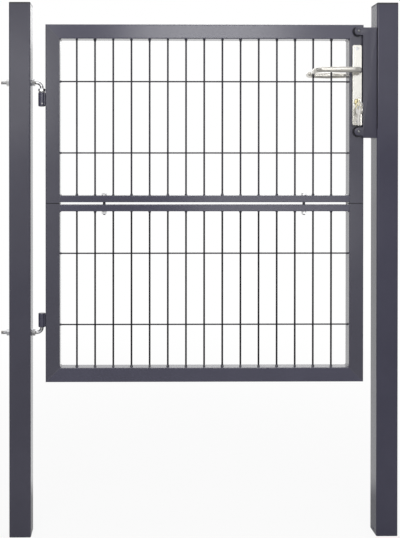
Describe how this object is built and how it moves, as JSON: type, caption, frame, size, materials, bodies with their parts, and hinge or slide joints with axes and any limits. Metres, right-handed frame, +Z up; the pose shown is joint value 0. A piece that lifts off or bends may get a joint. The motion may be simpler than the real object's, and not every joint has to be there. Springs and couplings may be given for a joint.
{
  "type": "garden gate",
  "caption": "Single-leaf steel garden gate hung between two square posts, with wire infill, adjustable hinges, lever handle, cylinder lock and strike plate.",
  "frame": {"origin": "midway between the two posts on the middle plane of the leaf, at the level of the post feet", "axes": "+X from the hinge post to the latch post, +Y away from the viewer and the way the leaf opens, +Z up along the posts"},
  "size_m": [1.1116, 0.157, 1.49],
  "materials": {
    "powder_coat": "semi-gloss anthracite powder coat",
    "cap_plastic": "moulded plastic in the post's colour",
    "zinc_steel": "bright zinc plate",
    "black_rubber": "matt",
    "nylon": "natural nylon",
    "satin_aluminium": "satin anodised",
    "brass": "satin brass",
    "lock_steel": "zinc plated, satin",
    "key_nickel": "nickel plate"
  },
  "bodies": {
    "posts": {"hinge_post": "powder_coat", "latch_post": "powder_coat", "hinge_post_cap": "cap_plastic", "latch_post_cap": "cap_plastic", "upper_hinge_hook": "zinc_steel", "lower_hinge_hook": "zinc_steel", "hinge_nuts": "zinc_steel", "hinge_washers": "zinc_steel", "upper_pin_nut": "zinc_steel", "strike_plate": "powder_coat", "strike_channel": "powder_coat", "strike_screws": "zinc_steel", "strike_rivet_nuts": "zinc_steel", "stop_buffers": "black_rubber", "stop_buffer_screws": "zinc_steel"},
    "gate": {"top_rail": "powder_coat", "upper_hinge_stile": "powder_coat", "upper_lock_stile": "powder_coat", "upper_mid_rail": "powder_coat", "lower_mid_rail": "powder_coat", "lower_hinge_stile": "powder_coat", "lower_lock_stile": "powder_coat", "bottom_rail": "powder_coat", "upper_vertical_wires": "powder_coat", "upper_horizontal_wires": "powder_coat", "lower_vertical_wires": "powder_coat", "lower_horizontal_wires": "powder_coat", "stile_joint_plugs": "zinc_steel", "coupling_bolts": "zinc_steel", "coupling_nuts": "zinc_steel", "coupling_washers": "zinc_steel", "upper_hinge_barrel": "powder_coat", "lower_hinge_barrel": "powder_coat", "upper_hinge_bush": "nylon", "lower_hinge_bush": "nylon", "lock_case": "lock_steel", "lock_case_cover": "lock_steel", "lock_faceplate": "lock_steel", "faceplate_screws": "zinc_steel", "front_backplate": "satin_aluminium", "rear_backplate": "satin_aluminium", "backplate_screws": "zinc_steel", "backplate_sleeve_nuts": "zinc_steel", "cylinder_body": "brass", "rear_cylinder_plug": "brass", "cylinder_screw": "zinc_steel", "latch_spring": "lock_steel"},
    "handle": {"front_lever": "satin_aluminium", "rear_lever": "satin_aluminium", "spindle": "lock_steel", "follower": "lock_steel", "lever_grub_screws": "zinc_steel"},
    "latch": {"latch_bolt": "lock_steel"},
    "deadbolt": {"dead_bolt": "lock_steel"},
    "key": {"cylinder_plug": "brass", "cylinder_cam": "lock_steel", "key": "key_nickel"},
    "key_bunch": {"key_ring": "key_nickel", "spare_keys": "key_nickel"}
  },
  "joints": [
    {"name": "gate_swing", "type": "hinge", "parent": "posts", "child": "gate", "pos_m": [-0.454, 0, 0.6], "axis": [0, 0, 1], "range_deg": [0, 90]},
    {"name": "handle_turn", "type": "hinge", "parent": "gate", "child": "handle", "pos_m": [0.428, 0, 1.298], "axis": [0, -1, 0], "range_deg": [0, 40], "stiffness_Nm_per_rad": 1.5, "springref_deg": -22.92},
    {"name": "latch_slide", "type": "slide", "parent": "gate", "child": "latch", "axis": [-1, 0, 0], "range_m": [0, 0.0115], "deforming": ["latch_spring"]},
    {"name": "key_turn", "type": "hinge", "parent": "gate", "child": "key", "pos_m": [0.428, 0, 1.213], "axis": [0, 1, 0], "range_deg": [0, 360]},
    {"name": "deadbolt_slide", "type": "slide", "parent": "gate", "child": "deadbolt", "axis": [1, 0, 0], "range_m": [0, 0.014]},
    {"name": "key_bunch_swing", "type": "hinge", "parent": "key", "child": "key_bunch", "pos_m": [0.428, -0.0525, 1.21052], "axis": [-1, 0, 0], "range_deg": [-12, 60]}
  ],
  "couplings": [
    {"joint": "latch_slide", "follows": "handle_turn", "m_per_rad": 0.01647},
    {"joint": "deadbolt_slide", "follows": "key_turn", "m_per_rad": 0.002228}
  ]
}
